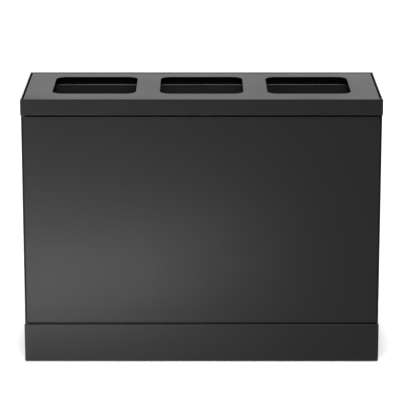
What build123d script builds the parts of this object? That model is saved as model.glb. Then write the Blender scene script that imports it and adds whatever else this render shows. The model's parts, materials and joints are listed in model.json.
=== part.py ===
from build123d import *
import os

os.makedirs("parts", exist_ok=True)

# Recycling bin station: a folded steel cabinet on a plinth, with a rear-hinged lid
# that has one opening per bin, a full-width pivoting door and removable bins.
# X is across the front, -Y is the front, Z is up, and the floor is Z = 0.

# Overall size
width = 1185.0
depth = 450.0
height = 900.0
bin_count = 3

# Sheet metal
sheet = 1.5
bend = 3.0
side_plate = 3.0
moving_gap = 0.3
running_fit = 0.05
weld_gap = 0.2
flange_gap = 0.5
cut_over = 5.0

# Plinth, shadow gap and feet
floor_gap = 4.0
plinth_height = 126.0
plinth_flange = 20.0
shadow_gap = 6.0
base_ring_recess = 12.0
base_ring_bar = 22.0
foot_pad_diameter = 44.0
foot_pad_height = 8.0
foot_stud_diameter = 10.0
foot_stud_spare = 13.0
foot_travel = 15.0
foot_inset = 48.0
foot_bracket_size = 80.0
foot_bracket_sheet = 4.0
foot_bracket_level = 28.0
foot_nut_height = 8.0
foot_nut_across = 17.0

# Cabinet
body_inset = 2.0
panel_setback = 3.5
lip_height = 8.0
flange = 15.0
rail_flange = 22.0
header_depth = 12.0
header_height = 24.0
header_wall = 1.5
header_drop = 4.5

# Door
door_inset = 2.5
door_depth = 20.0
door_gap_left = 0.6
door_gap_right = 2.0
door_lip = 18.0
roll_radius = 4.0
door_stiffener_width = 50.0
door_stiffener_depth = 15.0
door_stiffener_margin = 30.0
pivot_diameter = 5.0
pivot_length = 40.0
collar_diameter = 8.0
bush_wall = 0.95
bush_flange = 0.9
bush_flange_height = 1.0
bracket_sheet = 3.0
bracket_width = 38.0
bracket_depth = 22.0
bracket_leg = 22.0
bracket_nose = 10.0
base_bracket_sheet = 6.0

# Lock bolt and magnet catches on the free side of the door
bolt_diameter = 7.0
bolt_length = 96.0
bolt_inset = 30.0
bolt_depth = 14.5
bolt_travel = 12.0
bolt_hole_slack = 0.3
strike_finger = 3.5
guide_height = 10.0
guide_width = 18.0
guide_spacing = 46.0
guide_ear = 4.0
guide_foot = 14.0
knob_diameter = 12.0
knob_length = 14.0
catch_height = 40.0
catch_width = 14.0
catch_depth = 14.0
catch_sheet = 1.2
catch_levels = (0.25, 0.7)

# Lid
lid_gap = 5.0
band_height = 54.0
band_return = 12.0
lid_side_gap = 4.5
lid_flange = 22.0
lid_stiffener_width = 24.0
lid_stiffener_depth = 13.0
hinge_setback = 18.0
hinge_seam = 6.0
knuckle_relief = 0.4
hinge_pin_diameter = 2.5
leaf_sheet = 0.9
knuckle_pitch = 50.0
knuckle_gap = 0.4
rivet_diameter = 3.2
rivet_head = 6.0
rivet_head_height = 1.4

# Bins and bag rings
side_margin = 53.5
bin_gap = 12.0
bin_front_gap = 4.5
bin_rear_gap = 6.5
bin_top_drop = 40.0
bin_wall = 3.0
bin_floor = 4.0
bin_rim = 7.0
bin_rim_depth = 18.0
bin_rim_sheet = 3.5
bin_taper = 12.0
bin_corner = 40.0
bin_base_corner = 30.0
ring_corner = 43.0
ring_section = 5.0
ring_tab_width = 24.0
ring_tab_length = 12.0
ring_tab_sheet = 2.0
ring_tab_clearance = 1.5
ring_tab_setback = 4.0
guide_rail_height = 15.0
guide_rail_clearance = 5.0
aperture_inset_x = 33.5
aperture_inset_y = 56.5
aperture_shift = 2.0
aperture_corner = 37.0

# Planes and levels that follow from the sizes above
half = width / 2
front = -depth / 2
rear = depth / 2
plinth_top = floor_gap + plinth_height
cabinet_bottom = plinth_top + shadow_gap
band_bottom = height - band_height
door_top = band_bottom - lid_gap
body_half = half - body_inset
inner_half = body_half - side_plate
panel_front = front + panel_setback
door_face = front + door_inset
door_back = door_face + door_depth
back_inner = rear - sheet
floor_top = cabinet_bottom + sheet
lip_front = door_back + 2.5
lip_back = lip_front + sheet

knuckle_radius = hinge_seam / 2 - knuckle_relief
hinge_y = rear - hinge_setback
hinge_z = height - bend
lid_rear = hinge_y - hinge_seam / 2
rail_front = hinge_y + hinge_seam / 2
lid_half = inner_half - lid_side_gap
lid_underside = height - sheet

pivot_x = -inner_half + door_gap_left + roll_radius
pivot_y = door_face + roll_radius
door_right = inner_half - door_gap_right
pivot_radius = pivot_diameter / 2
bush_hole = pivot_radius + running_fit
bush_radius = bush_hole + bush_wall

header_back = lip_front
header_front = header_back - header_depth
header_top = lid_underside - header_drop
header_bottom = header_top - header_height

bin_pitch = (2 * inner_half - 2 * side_margin) / bin_count
bin_width = bin_pitch - bin_gap
bin_front = lip_back + bin_front_gap
bin_back = lid_rear - sheet - bin_rear_gap
bin_depth = bin_back - bin_front
bin_y = (bin_front + bin_back) / 2
bin_bottom = floor_top + moving_gap
bin_top = height - bin_top_drop
body_width = bin_width - 2 * bin_rim
body_depth = bin_depth - 2 * bin_rim
bin_places = [(index - (bin_count - 1) / 2) * bin_pitch for index in range(bin_count)]
gap_places = [(index - (bin_count - 2) / 2) * bin_pitch for index in range(bin_count - 1)]
bin_names = ["left", "middle", "right"]
aperture_width = bin_width - 2 * aperture_inset_x
aperture_depth = bin_depth - 2 * aperture_inset_y
aperture_y = bin_y + aperture_shift


def save(piece, name):
    piece.part.label = name
    export_step(piece.part, f"parts/{name}.step")


def block(x, y, z, mode=Mode.ADD):
    # A box given by its low and high value along each axis.
    with Locations((sum(x) / 2, sum(y) / 2, sum(z) / 2)):
        Box(x[1] - x[0], y[1] - y[0], z[1] - z[0], mode=mode)


def both_sides(low, high):
    # The same stretch on the right and, mirrored, on the left.
    return [(low, high), (-high, -low)]


def rod(centre, radius, length, axis=Axis.Z, mode=Mode.ADD):
    # A round bar along an axis, given by its middle.
    turn = {"X": (0, 90, 0), "Y": (90, 0, 0), "Z": (0, 0, 0)}
    letter = "XYZ"[[abs(v) > 0.5 for v in axis.direction].index(True)]
    with Locations(Location(centre, turn[letter])):
        Cylinder(radius, length, mode=mode)


def fold(plane, points, length, thickness=sheet, radius=bend):
    # Folded sheet: the outer line runs with the sheet on its right, and is extruded both ways.
    with BuildSketch(plane) as profile:
        with BuildLine():
            FilletPolyline(*points, radius=radius)
            offset(amount=thickness, side=Side.RIGHT)
        make_face()
    extrude(profile.sketch, amount=length / 2, both=True)


def top_hat(plane, centre, base, crown_width, rise, brim, length):
    # Stiffener section: brims on the sheet it is fixed to, and a crown that rises from it,
    # or hangs from it where rise is negative.
    edge = crown_width / 2 + brim
    side = crown_width / 2
    crown = base + rise - (sheet if rise > 0 else -sheet)
    points = [(centre - edge, base), (centre - side, base), (centre - side, crown)]
    points += [(centre + side, crown), (centre + side, base), (centre + edge, base)]
    with BuildSketch(plane) as profile:
        with BuildLine():
            FilletPolyline(*points, radius=2 * sheet)
            offset(amount=sheet, side=Side.LEFT if rise > 0 else Side.RIGHT)
        make_face()
    extrude(profile.sketch, amount=length / 2, both=True)


# Plinth, base ring and levelling feet

foot_x = half - foot_inset
foot_y = rear - foot_inset
foot_places = {
    "front_left": (-foot_x, -foot_y),
    "front_right": (foot_x, -foot_y),
    "rear_left": (-foot_x, foot_y),
    "rear_right": (foot_x, foot_y),
}


def plinth_long(side):
    # Front or back of the plinth: full width, with flanges that stop inside the ends.
    outer = side * rear
    inner = outer - side * plinth_flange
    points = [(inner, plinth_top), (outer, plinth_top), (outer, floor_gap), (inner, floor_gap)]
    with BuildPart() as piece:
        fold(Plane.YZ, points[::side], width)
        web = sorted((outer - side * sheet, inner - side * cut_over))
        for ends in both_sides(half - sheet - weld_gap, half + cut_over):
            block(ends, web, (0, plinth_top + cut_over), Mode.SUBTRACT)
        if side < 0:
            rod((pivot_x, pivot_y, plinth_top), bush_radius, 4 * sheet, mode=Mode.SUBTRACT)
    return piece


def plinth_end(side):
    # Left or right end of the plinth: its flanges stop short of the long sides' flanges.
    outer = side * half
    inner = outer - side * plinth_flange
    points = [(inner, plinth_top), (outer, plinth_top), (outer, floor_gap), (inner, floor_gap)]
    with BuildPart() as piece:
        fold(Plane.XZ, points[::side], depth - 2 * sheet)
        web = sorted((outer - side * (sheet + weld_gap / 2), inner - side * cut_over))
        for ends in both_sides(rear - plinth_flange - flange_gap, rear):
            block(web, ends, (0, plinth_top + cut_over), Mode.SUBTRACT)
    return piece


plinth_front = plinth_long(-1)
plinth_back = plinth_long(1)
plinth_left = plinth_end(-1)
plinth_right = plinth_end(1)
save(plinth_front, "plinth_front")
save(plinth_back, "plinth_back")
save(plinth_left, "plinth_left")
save(plinth_right, "plinth_right")

with BuildPart() as base_ring:
    ring_x = body_half - base_ring_recess
    ring_y = rear - base_ring_recess
    block((-ring_x, ring_x), (-ring_y, ring_y), (plinth_top, cabinet_bottom))
    inside_x = ring_x - base_ring_bar
    inside_y = ring_y - base_ring_bar
    block((-inside_x, inside_x), (-inside_y, inside_y), (plinth_top, cabinet_bottom), Mode.SUBTRACT)
save(base_ring, "base_ring")

with BuildPart() as foot_brackets:
    level = (foot_bracket_level, foot_bracket_level + foot_bracket_sheet)
    for x, y in foot_places.values():
        side_x = 1 if x > 0 else -1
        side_y = 1 if y > 0 else -1
        wall_x = side_x * (half - sheet)
        wall_y = side_y * (rear - sheet)
        reach_x = sorted((wall_x, wall_x - side_x * foot_bracket_size))
        reach_y = sorted((wall_y, wall_y - side_y * foot_bracket_size))
        block(reach_x, reach_y, level)
        upright = (foot_bracket_level, foot_bracket_level + foot_bracket_size / 2)
        block(sorted((wall_x, wall_x - side_x * foot_bracket_sheet)), reach_y, upright)
        block(reach_x, sorted((wall_y, wall_y - side_y * foot_bracket_sheet)), upright)
        rod((x, y, level[0]), foot_stud_diameter / 2 + running_fit, 20, mode=Mode.SUBTRACT)
save(foot_brackets, "foot_brackets")

with BuildPart() as foot_nuts:
    for x, y in foot_places.values():
        with BuildSketch(Plane.XY.offset(foot_bracket_level + foot_bracket_sheet)):
            with Locations((x, y)):
                RegularPolygon(foot_nut_across / 2, 6, major_radius=False)
                Circle(foot_stud_diameter / 2 + running_fit, mode=Mode.SUBTRACT)
        extrude(amount=foot_nut_height)
save(foot_nuts, "foot_nuts")


def foot_pad(x, y):
    with BuildPart() as piece:
        rod((x, y, foot_pad_height / 2), foot_pad_diameter / 2, foot_pad_height)
        chamfer(piece.edges().group_by(Axis.Z)[-1], 2.5)
    return piece


def foot_stud(x, y):
    top = foot_bracket_level + foot_bracket_sheet + foot_nut_height + foot_travel + foot_stud_spare
    length = top - foot_pad_height
    with BuildPart() as piece:
        rod((x, y, foot_pad_height + length / 2), foot_stud_diameter / 2, length)
        chamfer(piece.edges().group_by(Axis.Z)[-1], 1.0)
        rod((x, y, foot_pad_height + 3), foot_stud_diameter / 2 + 3, 6)
    return piece


for name, place in foot_places.items():
    pad = foot_pad(*place)
    stud = foot_stud(*place)
    save(pad, f"foot_pad_{name}")
    save(stud, f"foot_stud_{name}")

# Cabinet shell and what is fixed inside it


def side_panel(side):
    x = sorted((side * inner_half, side * body_half))
    with BuildPart() as piece:
        block(x, (panel_front, rear), (cabinet_bottom, height))
        uprights = piece.edges().filter_by(Axis.Z)
        fillet(uprights, 0.6)
    return piece


side_panel_left = side_panel(-1)
side_panel_right = side_panel(1)
save(side_panel_left, "side_panel_left")
save(side_panel_right, "side_panel_right")

stud_levels = [cabinet_bottom + 60, (cabinet_bottom + height) / 2, height - 80]
stud_rows = [front + 60, 0, rear - 60]
stud_radius = 2.5

with BuildPart() as back_panel:
    points = [(rear, cabinet_bottom), (rear, height), (rail_front, height)]
    points.append((rail_front, height - rail_flange))
    fold(Plane.YZ, points[::-1], 2 * inner_half)
    for x in both_sides(inner_half - sheet, inner_half):
        block(x, (back_inner - flange, back_inner), (floor_top + 2 * flange, height - 2 * rail_flange))
    for z in stud_levels:
        stud = (0, back_inner - flange / 2, z)
        rod(stud, stud_radius, 2 * inner_half + 5, Axis.X, Mode.SUBTRACT)

hinge_length = 2 * (lid_half - 10)
knuckle_count = int(hinge_length / knuckle_pitch) // 2 * 2 + 1
knuckle_step = hinge_length / knuckle_count
rivet_count = int(hinge_length / 100)
rivet_step = hinge_length / rivet_count
rivet_places = [(i - (rivet_count - 1) / 2) * rivet_step for i in range(rivet_count)]
rivet_z = height - rail_flange + 6
for x in rivet_places:
    with back_panel:
        rod((x, rail_front, rivet_z), rivet_diameter / 2, 8, Axis.Y, Mode.SUBTRACT)
save(back_panel, "back_panel")

with BuildPart() as floor_pan:
    block((-inner_half, inner_half), (lip_front, back_inner), (cabinet_bottom, floor_top))
    block((-inner_half, inner_half), (lip_front, lip_back), (cabinet_bottom, floor_top + lip_height))
    block((-inner_half, inner_half), (back_inner - sheet, back_inner), (cabinet_bottom, floor_top + flange))
    for x in both_sides(inner_half - sheet, inner_half):
        block(x, (lip_front, back_inner), (cabinet_bottom, floor_top + flange))
    for y in stud_rows:
        rod((0, y, floor_top + flange / 2), stud_radius, 2 * inner_half + 5, Axis.X, Mode.SUBTRACT)
save(floor_pan, "floor_pan")

with BuildPart() as header_rail:
    y = (header_front, header_back)
    z = (header_bottom, header_top)
    block((-inner_half, inner_half), y, z)
    fillet(header_rail.edges().filter_by(Axis.X), 2.0)
    inner_y = (y[0] + header_wall, y[1] - header_wall)
    inner_z = (z[0] + header_wall, z[1] - header_wall)
    block((-inner_half, inner_half), inner_y, inner_z, Mode.SUBTRACT)
save(header_rail, "header_rail")

# Weld studs on the side panels, with their nuts inside the flanges.
with BuildPart() as fixing_nuts:
    places = [(back_inner - flange / 2, z) for z in stud_levels]
    places += [(y, floor_top + flange / 2) for y in stud_rows]
    for side in (-1, 1):
        for y, z in places:
            tip = side * (inner_half - 4)
            rod((tip, y, z), stud_radius, 8, Axis.X)
            nut_face = side * (inner_half - sheet)
            plane = Plane(origin=(nut_face, y, z), z_dir=(-side, 0, 0))
            with BuildSketch(plane):
                RegularPolygon(4, 6, major_radius=False)
            extrude(amount=4)
save(fixing_nuts, "fixing_nuts")

# Bin guides: channels between the bins, angles outside the end bins, and a stop behind.
base_half = body_width / 2 - bin_taper
outer_guide = bin_places[-1] + base_half + guide_rail_clearance
base_back = bin_y + body_depth / 2 - bin_taper
guide_ends = (bin_front + 8, base_back - 4)
with BuildPart() as bin_guides:
    guide_mid = (guide_ends[0] + guide_ends[1]) / 2
    guide_length = guide_ends[1] - guide_ends[0]
    guide_plane = Plane(origin=(0, guide_mid, 0), x_dir=(1, 0, 0), z_dir=(0, -1, 0))
    hat_width = bin_pitch - 2 * base_half - 2 * guide_rail_clearance - 16
    for x in gap_places:
        top_hat(guide_plane, x, floor_top, hat_width, guide_rail_height, 8, guide_length)
    for x in both_sides(outer_guide, outer_guide + 2):
        block(x, guide_ends, (floor_top, floor_top + guide_rail_height))
    for x in both_sides(outer_guide, outer_guide + 18):
        block(x, guide_ends, (floor_top, floor_top + 2))
save(bin_guides, "bin_guides")

with BuildPart() as bin_stop:
    stop_half = bin_places[-1] + base_half
    stop_front = base_back + 3
    block((-stop_half, stop_half), (stop_front, stop_front + 2), (floor_top, floor_top + 40))
    block((-stop_half, stop_half), (stop_front, back_inner - 2 * sheet), (floor_top, floor_top + 2))
save(bin_stop, "bin_stop")

# Lid and its hinge


def hinge_leaf(outer, inward, levels, first):
    # Piano hinge leaf: a plate below the barrel, with every second knuckle on its own tab.
    face = sorted((outer, outer + inward * leaf_sheet))
    plate_top = hinge_z - knuckle_radius - 0.6
    with BuildPart() as piece:
        block((-hinge_length / 2, hinge_length / 2), face, (levels, plate_top))
        for index in range(first, knuckle_count, 2):
            low = -hinge_length / 2 + index * knuckle_step + knuckle_gap / 2
            high = low + knuckle_step - knuckle_gap
            block((low, high), face, (plate_top, hinge_z))
            rod(((low + high) / 2, hinge_y, hinge_z), knuckle_radius, high - low, Axis.X)
        bore = hinge_pin_diameter / 2 + running_fit
        rod((0, hinge_y, hinge_z), bore, hinge_length + 2, Axis.X, Mode.SUBTRACT)
        for x in rivet_places:
            rod((x, outer, rivet_z), rivet_diameter / 2, 8, Axis.Y, Mode.SUBTRACT)
    return piece


def hinge_rivets(leaf_face, head_face, direction):
    # Rivets through leaf and flange, with their heads on the hidden side of the flange.
    with BuildPart() as piece:
        for x in rivet_places:
            middle = (leaf_face + head_face) / 2
            rod((x, middle, rivet_z), rivet_diameter / 2, abs(leaf_face - head_face), Axis.Y)
            head = head_face + direction * rivet_head_height / 2
            rod((x, head, rivet_z), rivet_head / 2, rivet_head_height, Axis.Y)
    return piece


hinge_fixed_leaf = hinge_leaf(rail_front, -1, height - rail_flange, 0)
hinge_moving_leaf = hinge_leaf(lid_rear, 1, height - lid_flange, 1)
rivets_fixed = hinge_rivets(rail_front - leaf_sheet, rail_front + sheet, 1)
rivets_lid = hinge_rivets(lid_rear + leaf_sheet, lid_rear - sheet, -1)
save(hinge_fixed_leaf, "hinge_fixed_leaf")
save(hinge_moving_leaf, "hinge_moving_leaf")
save(rivets_fixed, "hinge_rivets_fixed")
save(rivets_lid, "hinge_rivets_lid")

with BuildPart() as hinge_pin:
    rod((0, hinge_y, hinge_z), hinge_pin_diameter / 2, hinge_length, Axis.X)
save(hinge_pin, "hinge_pin")

with BuildPart() as lid_flap:
    return_edge = front + band_return
    points = [(return_edge, band_bottom), (front, band_bottom), (front, height)]
    points += [(lid_rear, height), (lid_rear, height - lid_flange)]
    fold(Plane.YZ, points, width)
    flat_half = lid_half - bend
    for x in both_sides(flat_half, half + 1):
        block(x, (front + bend, rear), (band_bottom - 1, height + 1), Mode.SUBTRACT)
    middle_y = (front + bend + lid_rear - bend) / 2
    flange_length = lid_rear - front - 4 * bend
    side_plane = Plane(origin=(0, middle_y, 0), x_dir=(1, 0, 0), z_dir=(0, -1, 0))
    low = height - lid_flange
    right_edge = [(flat_half - 1, height), (lid_half, height), (lid_half, low)]
    left_edge = [(-lid_half, low), (-lid_half, height), (1 - flat_half, height)]
    fold(side_plane, right_edge, flange_length)
    fold(side_plane, left_edge, flange_length)
    for x in both_sides(lid_half - 2 * sheet, lid_half + 1):
        block(x, (front + bend, header_back + 6), (low - 1, header_top + 0.8), Mode.SUBTRACT)
    with BuildSketch(Plane.XY.offset(height - 2 * bend)):
        with Locations(*[(x, aperture_y) for x in bin_places]):
            RectangleRounded(aperture_width, aperture_depth, aperture_corner)
    extrude(amount=3 * bend, mode=Mode.SUBTRACT)
    for x in rivet_places:
        rod((x, lid_rear, rivet_z), rivet_diameter / 2, 8, Axis.Y, Mode.SUBTRACT)
save(lid_flap, "lid_flap")

with BuildPart() as lid_stiffeners:
    stiff_front = header_back + 6
    stiff_back = lid_rear - 8
    stiff_plane = Plane(origin=(0, (stiff_front + stiff_back) / 2, 0), x_dir=(1, 0, 0), z_dir=(0, -1, 0))
    for x in gap_places:
        length = stiff_back - stiff_front
        top_hat(stiff_plane, x, lid_underside, lid_stiffener_width, -lid_stiffener_depth, 9, length)
save(lid_stiffeners, "lid_stiffeners")

with BuildPart() as lid_rest_pads:
    pad_height = lid_underside - moving_gap - header_top
    pad_places = gap_places + [-lid_half + 40, lid_half - 40]
    pad_y = (header_front + header_back) / 2
    for x in pad_places:
        rod((x, pad_y, header_top + pad_height / 2), header_depth / 2 - 0.5, pad_height)
save(lid_rest_pads, "lid_rest_pads")

# Door, its pivots, the lock bolt and the catches

bolt_x = inner_half - bolt_inset
bolt_y = door_face + bolt_depth
bolt_radius = bolt_diameter / 2

with BuildPart() as door_panel:
    # Plan section: a roll round the pivot, the front, and a hooked edge on the free side.
    with BuildSketch(Plane.XY.offset(cabinet_bottom)):
        with BuildLine():
            roll = CenterArc((pivot_x, pivot_y), roll_radius, 90, 180)
            corner = (door_right, door_face)
            hook = [(door_right, door_back), (door_right - door_lip, door_back)]
            FilletPolyline(roll @ 1, corner, *hook, radius=bend)
            offset(amount=sheet, side=Side.LEFT)
        make_face()
    extrude(amount=door_top - cabinet_bottom)
    # Upright section: the front with a folded return along the top and bottom.
    flat = (pivot_x, door_right - bend)
    points = [(door_back, cabinet_bottom), (door_face, cabinet_bottom)]
    points += [(door_face, door_top), (door_back, door_top)]
    fold(Plane.YZ.offset(sum(flat) / 2), points, flat[1] - flat[0])
    with BuildSketch(Plane.YZ) as outline:
        with BuildLine():
            FilletPolyline((rear, cabinet_bottom), *points[1:3], (rear, door_top), radius=bend)
            Line((rear, door_top), (rear, cabinet_bottom))
        make_face()
    extrude(outline.sketch, amount=half, both=True, mode=Mode.INTERSECT)
    rod((bolt_x, bolt_y, door_top), bolt_radius + bolt_hole_slack, 10, mode=Mode.SUBTRACT)
    for z in (cabinet_bottom, door_top):
        rod((pivot_x, pivot_y, z), pivot_radius, 2 * pivot_length, mode=Mode.SUBTRACT)
save(door_panel, "door_panel")

with BuildPart() as door_stiffeners:
    low = cabinet_bottom + door_stiffener_margin
    high = door_top - door_stiffener_margin
    hat_plane = Plane.XY.offset((low + high) / 2)
    inside = door_face + sheet
    for x in gap_places:
        top_hat(hat_plane, x, inside, door_stiffener_width, door_stiffener_depth, 12, high - low)
save(door_stiffeners, "door_stiffeners")

base_bush_top = plinth_top + bush_flange_height
bush_flange_radius = bush_radius + bush_flange
with BuildPart() as door_pin_bottom:
    low = plinth_top - sheet - base_bracket_sheet - 1
    high = cabinet_bottom + pivot_length
    rod((pivot_x, pivot_y, (low + high) / 2), pivot_radius, high - low)
    collar_low = base_bush_top + moving_gap
    collar_middle = (collar_low + cabinet_bottom) / 2
    rod((pivot_x, pivot_y, collar_middle), collar_diameter / 2, cabinet_bottom - collar_low)
save(door_pin_bottom, "door_pin_bottom")

top_bracket_low = door_top + 1.5
top_bracket_high = top_bracket_low + bracket_sheet
with BuildPart() as door_pin_top:
    low = door_top - pivot_length
    high = top_bracket_high - 0.1
    rod((pivot_x, pivot_y, (low + high) / 2), pivot_radius, high - low)
save(door_pin_top, "door_pin_top")

with BuildPart() as door_bracket_bottom:
    z = (plinth_top - sheet - base_bracket_sheet, plinth_top - sheet)
    x = (-half + sheet + 1, -half + sheet + 1 + bracket_width)
    block(x, (front + sheet, front + sheet + bracket_depth - 4), z)
    fillet(door_bracket_bottom.edges().group_by(Axis.Z)[-1].sort_by(Axis.Y)[0], bend - sheet)
    rod((pivot_x, pivot_y, plinth_top), bush_radius, 40, mode=Mode.SUBTRACT)
save(door_bracket_bottom, "door_bracket_bottom")

with BuildPart() as door_bush_bottom:
    low = plinth_top - sheet - base_bracket_sheet
    rod((pivot_x, pivot_y, (low + plinth_top) / 2), bush_radius, plinth_top - low)
    flange_middle = (plinth_top + base_bush_top) / 2
    rod((pivot_x, pivot_y, flange_middle), bush_flange_radius, bush_flange_height)
    rod((pivot_x, pivot_y, plinth_top), bush_hole, 40, mode=Mode.SUBTRACT)
save(door_bush_bottom, "door_bush_bottom")

with BuildPart() as door_bracket_top:
    z = (top_bracket_low, top_bracket_high)
    wall = -inner_half
    block((wall, wall + bracket_nose), (pivot_y - bush_radius - 1.2, header_back), z)
    block((wall, wall + bracket_width), (header_front, header_back), z)
    block((wall, wall + bracket_sheet), (header_front - 8, header_back), (z[0], z[0] + bracket_leg))
    rod((pivot_x, pivot_y, z[0]), bush_radius, 20, mode=Mode.SUBTRACT)
save(door_bracket_top, "door_bracket_top")

with BuildPart() as door_bush_top:
    middle = (top_bracket_low + top_bracket_high) / 2
    rod((pivot_x, pivot_y, middle), bush_radius, bracket_sheet)
    flange_middle = top_bracket_low - bush_flange_height / 2
    rod((pivot_x, pivot_y, flange_middle), bush_flange_radius, bush_flange_height)
    rod((pivot_x, pivot_y, middle), bush_hole, 20, mode=Mode.SUBTRACT)
save(door_bush_top, "door_bush_top")

with BuildPart() as bolt_strike:
    # Forked plate: the bolt rises between the two fingers, which hold it front and back.
    z = (top_bracket_low, top_bracket_high)
    wall = inner_half
    slot_half = bolt_radius + bolt_hole_slack
    tip = wall - bracket_width - 4
    block((tip, wall), (bolt_y - slot_half - strike_finger, header_back), z)
    block((tip, bolt_x + slot_half), (bolt_y - slot_half, bolt_y + slot_half), z, Mode.SUBTRACT)
    block((wall - bracket_sheet, wall), (header_front - 8, header_back), (z[0], z[0] + bracket_leg))
save(bolt_strike, "bolt_strike")

bolt_top = door_top - 2
upper_guide = bolt_top - 12 - guide_height / 2
lower_guide = upper_guide - guide_spacing
with BuildPart() as bolt_guides:
    for z in (lower_guide, upper_guide):
        x = (bolt_x - guide_width / 2, bolt_x + guide_width / 2)
        y = (door_face + sheet, bolt_y + bolt_radius + 1.5)
        block(x, y, (z - guide_height / 2, z + guide_height / 2))
        block((x[0] - guide_ear, x[1]), (y[0], y[0] + sheet), (z - guide_foot / 2, z + guide_foot / 2))
        rod((bolt_x, bolt_y, z), bolt_radius + running_fit, 20, mode=Mode.SUBTRACT)
save(bolt_guides, "bolt_guides")

with BuildPart() as lock_bolt:
    rod((bolt_x, bolt_y, bolt_top - bolt_length / 2), bolt_radius, bolt_length)
    chamfer(lock_bolt.edges().group_by(Axis.Z)[-1], 1.0)
save(lock_bolt, "lock_bolt")

knob_z = (lower_guide + upper_guide) / 2 - bolt_travel / 2
with BuildPart() as bolt_knob:
    knob_y = bolt_y + bolt_radius - 1
    rod((bolt_x, knob_y + knob_length / 2, knob_z), knob_diameter / 2, knob_length, Axis.Y)
    fillet(bolt_knob.edges().group_by(Axis.Y)[-1], 2.0)
    rod((bolt_x, bolt_y, knob_z), bolt_radius, 40, mode=Mode.SUBTRACT)
save(bolt_knob, "bolt_knob")

catch_places = [cabinet_bottom + (door_top - cabinet_bottom) * share for share in catch_levels]
with BuildPart() as catch_plates:
    for z in catch_places:
        x = (door_right - door_lip + 1, door_right - 3)
        block(x, (door_back, door_back + catch_sheet), (z - catch_height / 2, z + catch_height / 2))
save(catch_plates, "catch_plates")

with BuildPart() as magnet_catches:
    for z in catch_places:
        near = door_back + catch_sheet + moving_gap
        x = (inner_half - catch_width, inner_half)
        level = (z - catch_height / 2 - 4, z + catch_height / 2 + 4)
        block(x, (near, near + catch_depth), level)
        block((inner_half - 2, inner_half), (near, near + catch_depth + 10), level)
save(magnet_catches, "magnet_catches")

# Bins and bag rings


def tapered(x, base, top, low, high, base_corner, top_corner, mode=Mode.ADD):
    # A solid between two rounded rectangles at two levels.
    with BuildSketch(Plane.XY.offset(low)) as lower:
        with Locations((x, bin_y)):
            RectangleRounded(base[0], base[1], base_corner)
    with BuildSketch(Plane.XY.offset(high)) as upper:
        with Locations((x, bin_y)):
            RectangleRounded(top[0], top[1], top_corner)
    loft([lower.sketch, upper.sketch], mode=mode)


def waste_bin(x):
    # Moulded bin: tapered walls, a closed floor and a downturned rim.
    top = (body_width, body_depth)
    base = (body_width - 2 * bin_taper, body_depth - 2 * bin_taper)
    inner_top = (top[0] - 2 * bin_wall, top[1] - 2 * bin_wall)
    inner_base = (base[0] - 2 * bin_wall, base[1] - 2 * bin_wall)
    with BuildPart() as piece:
        tapered(x, base, top, bin_bottom, bin_top, bin_base_corner, bin_corner)
        rim = (bin_width, bin_depth)
        skirt = (bin_width - 2 * bin_rim_sheet, bin_depth - 2 * bin_rim_sheet)
        corner = bin_corner + bin_rim
        tapered(x, rim, rim, bin_top - bin_rim_depth, bin_top, corner, corner)
        under = bin_top - bin_rim_sheet
        with BuildSketch(Plane.XY.offset(under)) as groove:
            with Locations((x, bin_y)):
                RectangleRounded(skirt[0], skirt[1], corner - bin_rim_sheet)
                RectangleRounded(top[0] - 0.4, top[1] - 0.4, bin_corner, mode=Mode.SUBTRACT)
        extrude(groove.sketch, amount=-bin_rim_depth, mode=Mode.SUBTRACT)
        corners = (bin_base_corner - bin_wall, bin_corner - bin_wall)
        tapered(x, inner_base, inner_top, bin_bottom + bin_floor, bin_top, *corners, Mode.SUBTRACT)
    return piece


def bag_ring(x):
    # Rounded square of round bar lying on the bin's rim, with locating tabs inside the side walls,
    # close to the corners, where the lid hides them.
    centre_z = bin_top + moving_gap + ring_section / 2
    outer = (body_width + ring_section + 2, body_depth + ring_section + 2)
    inner = (outer[0] - 2 * ring_section, outer[1] - 2 * ring_section)
    with BuildPart() as piece:
        with BuildSketch(Plane.XY.offset(centre_z - ring_section / 2)):
            with Locations((x, bin_y)):
                RectangleRounded(outer[0], outer[1], ring_corner)
                RectangleRounded(inner[0], inner[1], ring_corner - ring_section, mode=Mode.SUBTRACT)
        extrude(amount=ring_section)
        fillet(piece.edges().filter_by(Plane.XY), ring_section / 2 - 0.2)
        wall = body_width / 2 - bin_wall - ring_tab_clearance
        bar = (outer[0] - ring_section) / 2
        arm = (centre_z - ring_tab_sheet / 2, centre_z + ring_tab_sheet / 2)
        drop = (bin_top - ring_tab_length, centre_z)
        tab_place = body_depth / 2 - bin_corner - ring_tab_setback
        for tab_y in (bin_y - tab_place, bin_y + tab_place):
            along = (tab_y - ring_tab_width / 2, tab_y + ring_tab_width / 2)
            for low, high in ((x - wall, x - bar), (x + wall, x + bar)):
                inward = ring_tab_sheet if low < x else -ring_tab_sheet
                block(sorted((low, low + inward)), along, drop)
                block(sorted((low + inward, high)), along, arm)
    return piece


for name, x in zip(bin_names, bin_places):
    bin_body = waste_bin(x)
    ring = bag_ring(x)
    save(bin_body, f"bin_{name}")
    save(ring, f"bag_ring_{name}")
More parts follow.
